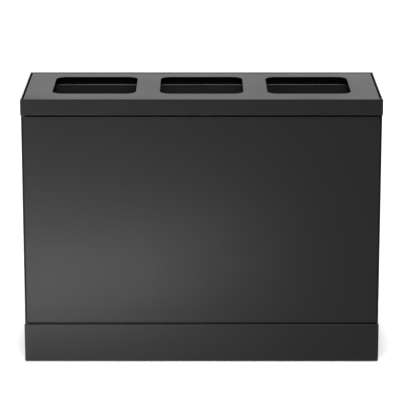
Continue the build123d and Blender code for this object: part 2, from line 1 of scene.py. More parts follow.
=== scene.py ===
import json
import math
import bmesh
import bpy
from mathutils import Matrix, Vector


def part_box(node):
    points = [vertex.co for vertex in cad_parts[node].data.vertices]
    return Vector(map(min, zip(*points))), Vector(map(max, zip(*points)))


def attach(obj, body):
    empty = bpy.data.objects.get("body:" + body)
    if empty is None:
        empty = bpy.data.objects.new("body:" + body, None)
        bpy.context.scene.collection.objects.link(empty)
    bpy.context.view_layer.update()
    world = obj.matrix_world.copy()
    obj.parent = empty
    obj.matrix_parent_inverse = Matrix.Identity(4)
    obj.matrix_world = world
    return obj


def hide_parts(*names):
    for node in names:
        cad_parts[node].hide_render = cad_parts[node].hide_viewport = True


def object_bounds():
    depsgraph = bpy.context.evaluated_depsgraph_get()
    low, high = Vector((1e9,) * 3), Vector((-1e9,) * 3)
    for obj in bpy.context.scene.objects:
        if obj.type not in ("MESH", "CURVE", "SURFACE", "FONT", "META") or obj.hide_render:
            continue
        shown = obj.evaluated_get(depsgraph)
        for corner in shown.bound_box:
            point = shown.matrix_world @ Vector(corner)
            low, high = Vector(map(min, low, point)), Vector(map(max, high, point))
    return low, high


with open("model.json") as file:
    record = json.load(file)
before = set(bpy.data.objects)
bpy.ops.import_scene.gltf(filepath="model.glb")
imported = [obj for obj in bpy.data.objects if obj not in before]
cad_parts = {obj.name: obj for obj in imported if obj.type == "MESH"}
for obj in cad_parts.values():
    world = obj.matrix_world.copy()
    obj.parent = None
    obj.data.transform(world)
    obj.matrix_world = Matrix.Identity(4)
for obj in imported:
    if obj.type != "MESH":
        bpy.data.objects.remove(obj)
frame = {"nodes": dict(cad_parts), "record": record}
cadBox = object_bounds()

mm = 0.001
nodes = frame["nodes"]
bpy.ops.object.select_all(action="DESELECT")
print("frame loaded:", len(nodes), "nodes")

# Camera, floor and light

cameraLook = {"distance": 7.5, "elevation": 15.1, "tilt": 14.3, "lens": 198.0, "shift": (-0.004, -0.04),
              "sensor": 36, "reach": 200}
floorLook = {"size": 60.0, "drop": 0.5 * mm, "color": (0.97, 0.97, 0.97, 1), "rough": 0.9,
             "specular": 0.1}
worldLook = {"front": 0.05, "behind": 0.35, "turn": 0.7, "backdrop": 1.0}  # brightness on the front and rear sides
sunLook = {"strength": 3.3, "lean": 8, "softness": 14}  # high, leaning from the front
lampLook = {  # low strips on the floor at the front left, one lamp high in front, one large one behind
    "nearLeft": {"at": (-0.6, -0.9, 0.06), "aim": (-0.4, -0.2, 0.2), "size": (0.9, 0.1), "watts": 3.5},
    "farLeft": {"at": (-1.3, -1.8, 0.12), "aim": (-0.4, -0.2, 0.2), "size": (0.8, 0.2), "watts": 8.8},
    "lowMiddle": {"at": (-0.4, -1.3, 0.05), "aim": (-0.3, -0.2, 0.1), "size": (1.2, 0.08), "watts": 7.4},
    "frontHigh": {"at": (0, -6.0, 3.1), "aim": (0, 0, 0.85), "size": (4.0, 1.6), "watts": 80.0},
    "behind": {"at": (0, 4.0, 2.2), "aim": (0, 0, 0.6), "size": (4.0, 2.0), "watts": 34.0},
}


def lookAt(obj, target):
    direction = Vector(target) - obj.location
    obj.rotation_euler = direction.to_track_quat("-Z", "Y").to_euler()


def makeCamera():
    c = cameraLook
    middle = (cadBox[0] + cadBox[1]) / 2
    up = math.radians(c["elevation"])
    place = middle + Vector((0, -math.cos(up), math.sin(up))) * c["distance"]
    bpy.ops.object.camera_add(location=place)
    camera = bpy.context.object
    camera.name = "camera"
    camera.rotation_euler = (math.radians(90 - c["tilt"]), 0, 0)
    camera.data.lens = c["lens"]
    camera.data.sensor_width = c["sensor"]
    camera.data.shift_x, camera.data.shift_y = c["shift"]
    camera.data.clip_end = c["reach"]
    bpy.context.scene.camera = camera


def makeFloor():
    bpy.ops.mesh.primitive_plane_add(size=floorLook["size"], location=(0, 0, -floorLook["drop"]))
    floor = bpy.context.object
    floor.name = "floor"
    mat = bpy.data.materials.new("paleFloor")
    mat.use_nodes = True
    shader = mat.node_tree.nodes["Principled BSDF"]
    shader.inputs["Base Color"].default_value = floorLook["color"]
    shader.inputs["Roughness"].default_value = floorLook["rough"]
    shader.inputs["Specular IOR Level"].default_value = floorLook["specular"]
    floor.data.materials.append(mat)


def makeWorld():
    world = bpy.data.worlds.new("studio")
    world.use_nodes = True
    tree = world.node_tree
    place = tree.nodes.new("ShaderNodeTexCoord")
    split = tree.nodes.new("ShaderNodeSeparateXYZ")
    fade = tree.nodes.new("ShaderNodeMapRange")
    fade.interpolation_type = "SMOOTHSTEP"
    fade.inputs["From Min"].default_value = 0.0
    fade.inputs["From Max"].default_value = worldLook["turn"]
    fade.inputs["To Min"].default_value = worldLook["front"]
    fade.inputs["To Max"].default_value = worldLook["behind"]
    background = tree.nodes["Background"]
    background.inputs["Color"].default_value = (1, 1, 1, 1)
    backdrop = tree.nodes.new("ShaderNodeBackground")  # what is seen past the floor's far edge
    backdrop.inputs["Color"].default_value = (1, 1, 1, 1)
    backdrop.inputs["Strength"].default_value = worldLook["backdrop"]
    path = tree.nodes.new("ShaderNodeLightPath")
    either = tree.nodes.new("ShaderNodeMixShader")
    tree.links.new(place.outputs["Generated"], split.inputs["Vector"])
    tree.links.new(split.outputs["Y"], fade.inputs["Value"])
    tree.links.new(fade.outputs["Result"], background.inputs["Strength"])
    tree.links.new(path.outputs["Is Camera Ray"], either.inputs["Fac"])
    tree.links.new(background.outputs["Background"], either.inputs[1])
    tree.links.new(backdrop.outputs["Background"], either.inputs[2])
    tree.links.new(either.outputs["Shader"], tree.nodes["World Output"].inputs["Surface"])
    bpy.context.scene.world = world


def makeLights():
    bpy.ops.object.light_add(type="SUN", location=(0, 0, 5))
    sun = bpy.context.object
    sun.name = "sun"
    sun.data.energy = sunLook["strength"]
    sun.data.angle = math.radians(sunLook["softness"])
    sun.rotation_euler = (math.radians(sunLook["lean"]), 0, 0)
    for name, look in lampLook.items():
        bpy.ops.object.light_add(type="AREA", location=look["at"])
        lamp = bpy.context.object
        lamp.name = name
        lamp.data.shape = "RECTANGLE"
        lamp.data.size, lamp.data.size_y = look["size"]
        lamp.data.energy = look["watts"]
        lamp.visible_camera = False
        lookAt(lamp, look["aim"])
    scene = bpy.context.scene
    scene.view_settings.view_transform = "Standard"
    scene.view_settings.look = "None"


makeCamera()
makeFloor()
makeWorld()
makeLights()
print("camera, floor and lights made")

# Shader effects that several finishes share


def newGroup(name, inputs, outputs):
    group = bpy.data.node_groups.new(name, "ShaderNodeTree")
    for label, value in inputs.items():
        socket = group.interface.new_socket(label, in_out="INPUT", socket_type="NodeSocketFloat")
        socket.default_value = value
    for label in outputs:
        group.interface.new_socket(label, in_out="OUTPUT", socket_type="NodeSocketFloat")
    start = group.nodes.new("NodeGroupInput")
    end = group.nodes.new("NodeGroupOutput")
    return group, start, end


def addNode(tree, kind, inputs=None, **settings):
    # One node: its settings by name, and each input as a value or a link
    node = tree.nodes.new(kind)
    for key, value in settings.items():
        setattr(node, key, value)
    for key, value in (inputs or {}).items():
        if isinstance(value, bpy.types.NodeSocket):
            tree.links.new(value, node.inputs[key])
        else:
            node.inputs[key].default_value = value
    return node


def makePeelGroup():
    # Fine orange peel of powder paint, with a slow change of gloss and shade across a panel
    group, start, end = newGroup("coatTexture", {"Grain": 900.0, "Cloud": 3.0}, ["Height", "Cloud", "Speck"])
    place = addNode(group, "ShaderNodeTexCoord").outputs["Object"]
    fine = addNode(group, "ShaderNodeTexNoise", {"Vector": place, "Scale": start.outputs["Grain"],
                                                "Detail": 2.0, "Roughness": 0.55})
    slow = addNode(group, "ShaderNodeTexNoise", {"Vector": place, "Scale": start.outputs["Cloud"],
                                                "Detail": 3.0, "Roughness": 0.5})
    speck = addNode(group, "ShaderNodeTexVoronoi", {"Vector": place, "Scale": start.outputs["Grain"]})
    group.links.new(fine.outputs["Fac"], end.inputs["Height"])
    group.links.new(slow.outputs["Fac"], end.inputs["Cloud"])
    group.links.new(speck.outputs["Distance"], end.inputs["Speck"])
    return group


def makeEdgeWearAndHighlightGroup():
    # Mask that is 1 along edges, broken up by noise; the coats use it to lighten edges, partly as rubbed paint and
    # partly as a painted highlight
    group, start, end = newGroup("edgeWearAndHighlight", {"Radius": 1.5 * mm, "Amount": 1.0}, ["Mask"])
    soft = addNode(group, "ShaderNodeBevel", {"Radius": start.outputs["Radius"]}, samples=4)
    flat = addNode(group, "ShaderNodeNewGeometry")
    match = addNode(group, "ShaderNodeVectorMath", {0: soft.outputs["Normal"], 1: flat.outputs["Normal"]},
                    operation="DOT_PRODUCT")
    turn = rangeOf(group, match.outputs["Value"], low=0.0, high=1.0, fromMin=0.99, fromMax=0.8)
    place = addNode(group, "ShaderNodeTexCoord").outputs["Object"]
    broken = addNode(group, "ShaderNodeTexNoise", {"Vector": place, "Scale": 60.0, "Detail": 4.0})
    spread = rangeOf(group, broken.outputs["Fac"], low=0.3, high=1.0, fromMin=0.35, fromMax=0.65)
    both = addNode(group, "ShaderNodeMath", {0: turn, 1: spread}, operation="MULTIPLY")
    scaled = addNode(group, "ShaderNodeMath", {0: both.outputs[0], 1: start.outputs["Amount"]},
                     operation="MULTIPLY")
    group.links.new(scaled.outputs[0], end.inputs["Mask"])
    return group


def makeDustGroup():
    # Dust that settles on faces that look up
    group, start, end = newGroup("settledDust", {"Amount": 0.1, "Patch": 14.0}, ["Mask"])
    flat = addNode(group, "ShaderNodeNewGeometry")
    split = addNode(group, "ShaderNodeSeparateXYZ", {"Vector": flat.outputs["Normal"]})
    upward = rangeOf(group, split.outputs["Z"], low=0.0, high=1.0, fromMin=0.5, fromMax=1.0)
    place = addNode(group, "ShaderNodeTexCoord").outputs["Object"]
    patch = addNode(group, "ShaderNodeTexNoise", {"Vector": place, "Scale": start.outputs["Patch"],
                                                 "Detail": 6.0, "Roughness": 0.65})
    both = addNode(group, "ShaderNodeMath", {0: upward, 1: patch.outputs["Fac"]}, operation="MULTIPLY")
    scaled = addNode(group, "ShaderNodeMath", {0: both.outputs[0], 1: start.outputs["Amount"]},
                     operation="MULTIPLY")
    group.links.new(scaled.outputs[0], end.inputs["Mask"])
    return group


def makeBrushGroup():
    # Long fine lines of a drawn surface, close together upwards
    group, start, end = newGroup("brushLines", {"Along": 12.0, "Across": 1600.0}, ["Height"])
    place = addNode(group, "ShaderNodeTexCoord").outputs["Object"]
    split = addNode(group, "ShaderNodeSeparateXYZ", {"Vector": place})
    joined = addNode(group, "ShaderNodeCombineXYZ")
    for axis, spacing in (("X", "Along"), ("Y", "Along"), ("Z", "Across")):
        scaled = addNode(group, "ShaderNodeMath", {0: split.outputs[axis], 1: start.outputs[spacing]},
                         operation="MULTIPLY")
        group.links.new(scaled.outputs[0], joined.inputs[axis])
    lines = addNode(group, "ShaderNodeTexNoise", {"Vector": joined.outputs["Vector"], "Scale": 1.0, "Detail": 3.0})
    group.links.new(lines.outputs["Fac"], end.inputs["Height"])
    return group


def useGroup(tree, group, **values):
    node = tree.nodes.new("ShaderNodeGroup")
    node.node_tree = group
    for label, value in values.items():
        node.inputs[label].default_value = value
    return node


def mixColor(tree, mask, first, second):
    mix = tree.nodes.new("ShaderNodeMix")
    mix.data_type = "RGBA"
    sockets = {s.identifier: s for s in mix.inputs}
    tree.links.new(mask, sockets["Factor_Float"])
    for key, value in (("A_Color", first), ("B_Color", second)):
        if isinstance(value, bpy.types.NodeSocket):
            tree.links.new(value, sockets[key])
        else:
            sockets[key].default_value = value
    return {s.identifier: s for s in mix.outputs}["Result_Color"]


def rangeOf(tree, value, low, high, fromMin=0.3, fromMax=0.7):
    node = addNode(tree, "ShaderNodeMapRange", {"Value": value, "From Min": fromMin, "From Max": fromMax,
                                               "To Min": low, "To Max": high})
    return node.outputs["Result"]


def grey(value, warm=0.0):
    return (value * (1 + warm), value, value * (1 - warm), 1)


coatTexture = makePeelGroup()
edgeWearAndHighlight = makeEdgeWearAndHighlightGroup()
settledDust = makeDustGroup()
brushLines = makeBrushGroup()
print("shader groups made")

# Finishes

# rubbed: how much lighter the edges are painted, for rubbed paint and a painted highlight
coatLook = {"specular": 0.15, "cloudSize": 2.6, "cloud": 0.1, "glossChange": 0.03, "edge": 1.4 * mm,
            "rubbedAndHighlit": 2.2, "peelHeight": 0.3 * mm, "dust": 0.32, "dustWarm": 0.03}
mouldLook = {"specular": 0.3, "cloudSize": 7.0, "cloud": 0.15, "glossChange": 0.06,
             "grainHeight": 0.4 * mm, "dust": 0.25, "dustWarm": 0.04}
metalLook = {"along": 14.0, "across": 1400.0, "grain": 400.0, "cloudSize": 30.0, "tarnish": 0.8,
             "smoother": 0.07, "rougher": 0.1, "lineHeight": 0.1 * mm}


def makeCoat(name, shade, rough, grain, peel, dust, wornAndHighlit=0.35):
    # Powder paint: fine peel, slow clouding of shade and gloss, edges lightened as rubbed paint and as a painted
    # highlight, a little dust
    mat = bpy.data.materials.new(name)
    mat.use_nodes = True
    tree = mat.node_tree
    shader = tree.nodes["Principled BSDF"]
    shader.inputs["Specular IOR Level"].default_value = coatLook["specular"]
    texture = useGroup(tree, coatTexture, Grain=grain, Cloud=coatLook["cloudSize"])
    edge = useGroup(tree, edgeWearAndHighlight, Radius=coatLook["edge"], Amount=wornAndHighlit)
    film = useGroup(tree, settledDust, Amount=dust)
    dark, light = shade * (1 - coatLook["cloud"]), shade * (1 + coatLook["cloud"])
    cloudy = mixColor(tree, texture.outputs["Cloud"], grey(dark), grey(light))
    # Lighter edges: rubbed paint together with a painted highlight along every edge
    rubbedAndHighlit = mixColor(tree, edge.outputs["Mask"], cloudy, grey(shade * coatLook["rubbedAndHighlit"]))
    dusty = mixColor(tree, film.outputs["Mask"], rubbedAndHighlit, grey(coatLook["dust"], coatLook["dustWarm"]))
    tree.links.new(dusty, shader.inputs["Base Color"])
    change = coatLook["glossChange"]
    gloss = rangeOf(tree, texture.outputs["Cloud"], rough - change, rough + change)
    tree.links.new(gloss, shader.inputs["Roughness"])
    bump = addNode(tree, "ShaderNodeBump", {"Height": texture.outputs["Height"], "Strength": peel,
                                           "Distance": coatLook["peelHeight"]})
    tree.links.new(bump.outputs["Normal"], shader.inputs["Normal"])
    return mat


def makeMoulded(name, shade, rough, grain, peel, dust, warm=0.0):
    # Moulded plastic or rubber with a fine spark-eroded grain
    mat = bpy.data.materials.new(name)
    mat.use_nodes = True
    tree = mat.node_tree
    shader = tree.nodes["Principled BSDF"]
    shader.inputs["Specular IOR Level"].default_value = mouldLook["specular"]
    texture = useGroup(tree, coatTexture, Grain=grain, Cloud=mouldLook["cloudSize"])
    film = useGroup(tree, settledDust, Amount=dust)
    dark, light = shade * (1 - mouldLook["cloud"]), shade * (1 + mouldLook["cloud"])
    cloudy = mixColor(tree, texture.outputs["Cloud"], grey(dark, warm), grey(light, warm))
    dusty = mixColor(tree, film.outputs["Mask"], cloudy, grey(mouldLook["dust"], mouldLook["dustWarm"]))
    tree.links.new(dusty, shader.inputs["Base Color"])
    change = mouldLook["glossChange"]
    gloss = rangeOf(tree, texture.outputs["Cloud"], rough - change, rough + change)
    tree.links.new(gloss, shader.inputs["Roughness"])
    bump = addNode(tree, "ShaderNodeBump", {"Height": texture.outputs["Speck"], "Strength": peel,
                                           "Distance": mouldLook["grainHeight"]})
    tree.links.new(bump.outputs["Normal"], shader.inputs["Normal"])
    return mat


def makeMetal(name, color, rough, lines):
    # Bare or plated metal with drawn lines and a little tarnish
    mat = bpy.data.materials.new(name)
    mat.use_nodes = True
    tree = mat.node_tree
    shader = tree.nodes["Principled BSDF"]
    shader.inputs["Metallic"].default_value = 1.0
    brush = useGroup(tree, brushLines, Along=metalLook["along"], Across=metalLook["across"])
    texture = useGroup(tree, coatTexture, Grain=metalLook["grain"], Cloud=metalLook["cloudSize"])
    darker = tuple(c * metalLook["tarnish"] for c in color[:3]) + (1,)
    tree.links.new(mixColor(tree, texture.outputs["Cloud"], darker, color), shader.inputs["Base Color"])
    low, high = rough - metalLook["smoother"], rough + metalLook["rougher"]
    gloss = rangeOf(tree, brush.outputs["Height"], low, high)
    tree.links.new(gloss, shader.inputs["Roughness"])
    bump = addNode(tree, "ShaderNodeBump", {"Height": brush.outputs["Height"], "Strength": lines,
                                           "Distance": metalLook["lineHeight"]})
    tree.links.new(bump.outputs["Normal"], shader.inputs["Normal"])
    return mat


finishes = {
    "powder_coat": makeCoat("blackPowderCoat", shade=0.007, rough=0.42, grain=1100.0, peel=0.12, dust=0.01),
    "inner_steel": makeCoat("blackInnerCoat", shade=0.008, rough=0.5, grain=900.0, peel=0.15, dust=0.04),
    "hinge_steel": makeCoat("blackHingeCoat", shade=0.01, rough=0.38, grain=900.0, peel=0.1, dust=0.02, wornAndHighlit=0.8),
    "bin_plastic": makeMoulded("blackBinPlastic", shade=0.016, rough=0.5, grain=1500.0, peel=0.25, dust=0.03),
    "hard_plastic": makeMoulded("blackHardPlastic", shade=0.03, rough=0.4, grain=1500.0, peel=0.2, dust=0.02),
    "foot_plastic": makeMoulded("blackFootPlastic", shade=0.03, rough=0.55, grain=1200.0, peel=0.25, dust=0.04),
    "rubber": makeMoulded("blackRubber", shade=0.02, rough=0.75, grain=800.0, peel=0.3, dust=0.03, warm=0.05),
    "stainless": makeMetal("brushedStainless", color=(0.25, 0.27, 0.285, 1), rough=0.32, lines=0.25),
    "zinc_steel": makeMetal("brightZinc", color=(0.62, 0.62, 0.6, 1), rough=0.34, lines=0.1),
}
slotOf = {part["node"]: part["material_slot"] for part in frame["record"]["subparts"]}
for nodeName, nodeObject in nodes.items():
    nodeObject.data.materials.clear()
    nodeObject.data.materials.append(finishes[slotOf[nodeName]])
print("finishes made:", len(finishes))

# Bench tools

mergeGap = 0.01 * mm  # points closer than this become one
cadMergeGap = 0.001 * mm
nearBy = 0.1 * mm  # how far from a plane an edge may lie and still be picked


def selectNothing():
    if bpy.context.object and bpy.context.object.mode == "EDIT":
        bpy.ops.object.mode_set(mode="OBJECT")
    bpy.ops.object.select_all(action="DESELECT")


def only(piece):
    selectNothing()
    piece.select_set(True)
    bpy.context.view_layer.objects.active = piece


def newPiece(name, add, **settings):
    # Adds one primitive and puts its place into its mesh
    selectNothing()
    add(**settings)
    piece = bpy.context.object
    piece.name = name
    piece.data.name = name
    bpy.ops.object.transform_apply(location=True, rotation=True, scale=True)
    bpy.ops.object.mode_set(mode="EDIT")
    bpy.ops.mesh.select_mode(type="VERT")
    bpy.ops.mesh.select_all(action="SELECT")
    return piece


def pick(kind, test):
    # Selects only the vertices, edges or faces that pass the test
    bpy.ops.mesh.select_mode(type={"verts": "VERT", "edges": "EDGE", "faces": "FACE"}[kind])
    bpy.ops.mesh.select_all(action="DESELECT")
    mesh = bpy.context.object.data
    shape = bmesh.from_edit_mesh(mesh)
    for item in getattr(shape, kind):
        if test(item):
            item.select_set(True)
    bmesh.update_edit_mesh(mesh)


def pushTo(move, scale=(1, 1, 1), center=(0, 0, 0)):
    # Extrudes what is selected, moves it and scales it about a point
    bpy.ops.mesh.extrude_region_move(TRANSFORM_OT_translate={"value": move})
    bpy.ops.transform.resize(value=scale, center_override=center)


def turned(name, center, axis, sides, stages):
    # A round piece: stages are (distance along the axis, radius), from one end to the other
    axis = Vector(axis)
    center = Vector(center)
    along, radius = stages[0]
    tilt = axis.to_track_quat("Z", "Y").to_euler()
    piece = newPiece(name, bpy.ops.mesh.primitive_circle_add, vertices=sides, radius=radius,
                     fill_type="NGON", location=center + axis * along, rotation=tilt)
    for nextAlong, nextRadius in stages[1:]:
        factor = nextRadius / radius
        scale = [1 if abs(part) > 0.5 else factor for part in axis]
        pushTo(axis * (nextAlong - along), scale, center + axis * nextAlong)
        along, radius = nextAlong, nextRadius
    return piece


def applyModifier(piece, kind, **settings):
    only(piece)
    modifier = piece.modifiers.new(kind.lower(), kind)
    for key, value in settings.items():
        setattr(modifier, key, value)
    bpy.ops.object.modifier_apply(modifier=modifier.name)


def roundEdges(piece, width, segments=2, angle=40):
    applyModifier(piece, "BEVEL", width=width, segments=segments, limit_method="ANGLE",
                  angle_limit=math.radians(angle))


def copyTo(piece, name, move):
    only(piece)
    bpy.ops.object.duplicate(linked=False)
    copy = bpy.context.object
    copy.name = name
    copy.data.name = name
    bpy.ops.transform.translate(value=move)
    bpy.ops.object.transform_apply(location=True, rotation=True, scale=True)
    return copy


def joinAll(pieces, name):
    only(pieces[0])
    for piece in pieces:
        piece.select_set(True)
    bpy.ops.object.join()
    whole = bpy.context.object
    whole.name = name
    return whole


def faceOut():
    # Merges doubles and turns every face outwards, in edit mode
    bpy.ops.mesh.select_all(action="SELECT")
    bpy.ops.mesh.remove_doubles(threshold=mergeGap)
    bpy.ops.mesh.normals_make_consistent(inside=False)


def handOver(piece, body, slot, stands=(), smooth=35):
    # Shades the finished piece and gives it its finish, its body and the nodes it stands for
    only(piece)
    bpy.ops.object.shade_smooth_by_angle(angle=math.radians(smooth))
    piece.data.materials.clear()
    piece.data.materials.append(finishes[slot])
    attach(piece, body)
    if stands:
        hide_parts(*stands)


def middleOf(box):
    return (Vector(box[0]) + Vector(box[1])) / 2


def solidsOf(nodeName):
    # The box of each separate solid of a node, found on a merged copy of its mesh
    shape = bmesh.new()
    shape.from_mesh(nodes[nodeName].data)
    bmesh.ops.remove_doubles(shape, verts=shape.verts, dist=cadMergeGap)
    left = set(shape.verts)
    boxes = []
    while left:
        queue = [left.pop()]
        points = []
        while queue:
            vert = queue.pop()
            points.append(vert.co.copy())
            near = [edge.other_vert(vert) for edge in vert.link_edges]
            fresh = [other for other in near if other in left]
            left.difference_update(fresh)
            queue.extend(fresh)
        low = Vector([min(p[i] for p in points) for i in range(3)])
        high = Vector([max(p[i] for p in points) for i in range(3)])
        boxes.append((low, high))
    shape.free()
    return sorted(boxes, key=lambda box: tuple(round(v, 4) for v in box[0]))


# Moulded bins

binLook = {"wall": 3 * mm, "rim": 7 * mm, "rimDrop": 18 * mm, "taper": 12 * mm, "corner": 28 * mm,
           "cornerSteps": 7, "strips": 3, "ribLow": 0.07, "ribHigh": 0.87, "ribGap": 9 * mm,
           "ribSlope": 3 * mm, "ribDepth": 1.8 * mm, "footInset": 20 * mm, "footRise": 3 * mm,
           "edge": 0.7 * mm}


def makeBin(name, low, high):
    # The inner skin is drawn up from the floor, turned over at the rim, panelled and given its wall
    b = binLook
    x, y = (low[0] + high[0]) / 2, (low[1] + high[1]) / 2
    bottom = low[2] + b["wall"]
    top = high[2]
    rimHalf = Vector(((high[0] - low[0]) / 2, (high[1] - low[1]) / 2))
    mouthHalf = rimHalf - Vector((b["rim"] + b["wall"],) * 2)
    baseHalf = mouthHalf - Vector((b["taper"],) * 2)
    piece = newPiece(name, bpy.ops.mesh.primitive_plane_add, size=2, location=(x, y, bottom))
    bpy.ops.transform.resize(value=(baseHalf.x, baseHalf.y, 1), center_override=(x, y, bottom))
    bpy.ops.mesh.bevel(offset=b["corner"], segments=b["cornerSteps"], affect="VERTICES")
    pick("edges", lambda edge: edge.calc_length() > 2 * b["corner"])
    bpy.ops.mesh.subdivide(number_cuts=b["strips"] - 1)
    bpy.ops.mesh.select_all(action="SELECT")
    half, level = baseHalf, bottom
    for share in (b["ribLow"], b["ribHigh"], 1.0):
        nextHalf = baseHalf.lerp(mouthHalf, share)
        nextLevel = bottom + (top - bottom) * share
        scale = (nextHalf.x / half.x, nextHalf.y / half.y, 1)
        pushTo((0, 0, nextLevel - level), scale, (x, y, nextLevel))
        half, level = nextHalf, nextLevel
    bpy.ops.mesh.delete(type="ONLY_FACE")
    pick("edges", lambda edge: edge.is_boundary)
    pushTo((0, 0, 0), (rimHalf.x / mouthHalf.x, rimHalf.y / mouthHalf.y, 1), (x, y, top))
    pushTo((0, 0, -b["rimDrop"]))
    bpy.ops.mesh.select_all(action="SELECT")
    bpy.ops.mesh.normals_make_consistent(inside=False)

    def isFloor(face):
        return abs(face.normal.z) > 0.9 and face.calc_center_median().z < bottom + mm

    pick("faces", isFloor)
    looksDown = any(face.select and face.normal.z < 0 for face in bmesh.from_edit_mesh(piece.data).faces)
    if looksDown:
        bpy.ops.mesh.select_all(action="SELECT")
        bpy.ops.mesh.flip_normals()
        pick("faces", isFloor)
    bpy.ops.mesh.inset(thickness=b["footInset"])
    bpy.ops.mesh.inset(thickness=b["ribSlope"], depth=b["footRise"])
    tall = (b["ribHigh"] - b["ribLow"]) * (top - bottom) * 0.9
    wide = 4 * b["ribGap"]
    pick("faces", lambda face: face.calc_area() > tall * wide and abs(face.normal.z) < 0.2)
    bpy.ops.mesh.inset(thickness=b["ribGap"], use_individual=True)
    bpy.ops.mesh.inset(thickness=b["ribSlope"], depth=b["ribDepth"], use_individual=True)
    applyModifier(piece, "SOLIDIFY", thickness=b["wall"], offset=-1, use_even_offset=True)
    roundEdges(piece, b["edge"])
    return piece


firstBin = makeBin("detailBinLeft", *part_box("bin_left"))
for side in ("middle", "right"):
    shift = middleOf(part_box("bin_" + side)) - middleOf(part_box("bin_left"))
    copied = copyTo(firstBin, "detailBin" + side.capitalize(), shift)
    handOver(copied, f"bin_{side}_body", "bin_plastic", ["bin_" + side])
handOver(firstBin, "bin_left_body", "bin_plastic", ["bin_left"])
print("bins made")

# Bag rings

ringLook = {"bar": 5 * mm, "corner": 40.5 * mm, "sides": 14, "cornerSteps": 9, "tabWidth": 24 * mm,
            "tabSheet": 2 * mm, "tabReach": 6.5 * mm, "tabPlace": 144 * mm, "edge": 0.4 * mm}


def makeRing(name, low, high):
    # Round bar bent into a rounded square, with two strap tabs inside each side wall
    r = ringLook
    radius = r["bar"] / 2
    x, y = (low[0] + high[0]) / 2, (low[1] + high[1]) / 2
    level = high[2] - radius
    halfX = (high[0] - low[0]) / 2 - radius
    halfY = (high[1] - low[1]) / 2 - radius
    runX, runY = halfX - r["corner"], halfY - r["corner"]
    bar = newPiece(name, bpy.ops.mesh.primitive_circle_add, vertices=r["sides"], radius=radius,
                   location=(x + halfX, y, level), rotation=(math.pi / 2, 0, 0))
    corners = [((0, runY), (runX, runY)), ((-2 * runX, 0), (-runX, runY)), ((0, -2 * runY), (-runX, -runY)),
               ((2 * runX, 0), (runX, -runY))]
    for run, corner in corners:
        pushTo((run[0], run[1], 0))
        bpy.ops.mesh.spin(steps=r["cornerSteps"], angle=-math.pi / 2, axis=(0, 0, 1),
                          center=(x + corner[0], y + corner[1], level))
    pushTo((0, runY, 0))
    faceOut()
    parts = [bar]
    for side, end in ((1, 1), (1, -1), (-1, 1), (-1, -1)):
        out = Vector((side, 0, 0))
        middle = Vector((x + side * (halfX - r["tabReach"] / 2), y + end * r["tabPlace"], level))
        strap = newPiece("strap", bpy.ops.mesh.primitive_plane_add, size=1, location=middle)
        bpy.ops.transform.resize(value=(r["tabReach"], r["tabWidth"], 1), center_override=middle)
        inner = middle.dot(out) - r["tabReach"] / 2
        pick("edges", lambda edge: all(abs(v.co.dot(out) - inner) < nearBy for v in edge.verts))
        pushTo((0, 0, low[2] - level))
        faceOut()
        applyModifier(strap, "SOLIDIFY", thickness=r["tabSheet"], offset=0, use_even_offset=True)
        roundEdges(strap, r["edge"])
        parts.append(strap)
    return joinAll(parts, name)


firstRing = makeRing("detailRingLeft", *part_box("bag_ring_left"))
for side in ("middle", "right"):
    shift = middleOf(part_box("bag_ring_" + side)) - middleOf(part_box("bag_ring_left"))
    copied = copyTo(firstRing, "detailRing" + side.capitalize(), shift)
    handOver(copied, f"ring_{side}_body", "stainless", ["bag_ring_" + side])
handOver(firstRing, "ring_left_body", "stainless", ["bag_ring_left"])
print("bag rings made")

# Levelling feet and their nuts

padLook = {"sides": 40, "hip": 1.5 * mm, "rimTop": 0.62, "slope": 2.5 * mm, "slopeTop": 0.86,
           "hubFlare": 2 * mm, "hubFoot": 0.9, "neck": 9 * mm, "grip": 0.7 * mm, "gripEdge": 0.4 * mm,
           "edge": 0.2 * mm}
studLook = {"radius": 5 * mm, "pitch": 1.5 * mm, "root": 0.75 * mm, "flank": 0.42, "crest": 0.16, "tip": 0.85,
            "sides": 20, "collar": 14 * mm, "collarHeight": 6 * mm, "collarChamfer": 0.8 * mm,
            "sunk": 1 * mm}
nutLook = {"sides": 48, "across": 17 * mm, "bore": 10.1 * mm, "boreSides": 24,
           "chamfer": 0.9 * mm, "chamferRise": 0.55, "past": 0.1 * mm, "through": 1 * mm}


def makeFootPad(name, low, high):
    # Moulded disc with a gripping edge and a sloped top
    f = padLook
    center = middleOf((low, high))
    radius = (high[0] - low[0]) / 2
    height = high[2] - low[2]
    stages = [(0, radius - f["hip"]), (f["hip"], radius), (height * f["rimTop"], radius),
              (height * f["slopeTop"], radius - f["slope"]), (height * f["hubFoot"], f["neck"] + f["hubFlare"]),
              (height, f["neck"])]
    pad = turned(name, (center.x, center.y, low[2]), (0, 0, 1), f["sides"], stages)
    faceOut()
    step = 2 * math.pi / f["sides"]

    def onRim(face):
        spot = face.calc_center_median() - center
        turn = math.floor(math.atan2(spot.y, spot.x) / step + 0.25)
        return abs(face.normal.z) < 0.1 and turn % 2 == 0

    pick("faces", onRim)
    bpy.ops.mesh.inset(thickness=f["gripEdge"], depth=-f["grip"], use_individual=True)
    roundEdges(pad, f["edge"])
    return pad


